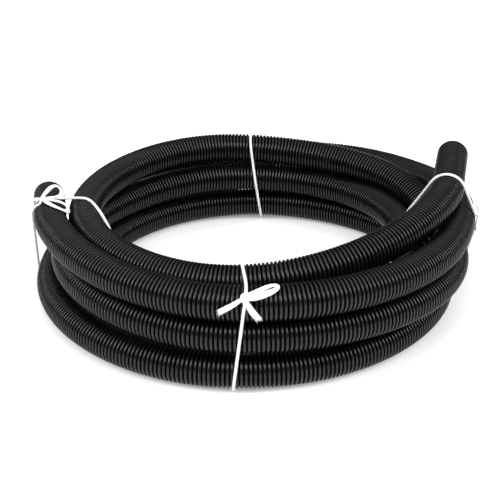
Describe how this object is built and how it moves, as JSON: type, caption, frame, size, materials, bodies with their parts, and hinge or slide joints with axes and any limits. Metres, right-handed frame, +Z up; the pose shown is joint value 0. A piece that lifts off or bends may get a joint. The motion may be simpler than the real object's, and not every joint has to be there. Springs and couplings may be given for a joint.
{
  "type": "vacuum hose",
  "caption": "Long corrugated flexible suction hose in black plastic, coiled in stacked turns and tied with white string, for a pool or spa vacuum.",
  "frame": {"origin": "on the ground, under the middle of the whole coil's bounding box", "axes": "+Z up out of the ring, -Y to the front of the coil as pictured, +X to its right, where the higher hose end is"},
  "size_m": [0.548, 0.561, 0.1581],
  "materials": {
    "hose": "satin",
    "string": "matte"
  },
  "bodies": {
    "root": {"hose_coil": "hose", "hose_end_right": "hose", "hose_end_left": "hose", "tie_front": "string", "tie_left": "string", "tie_back": "string", "tie_right": "string"}
  },
  "joints": []
}
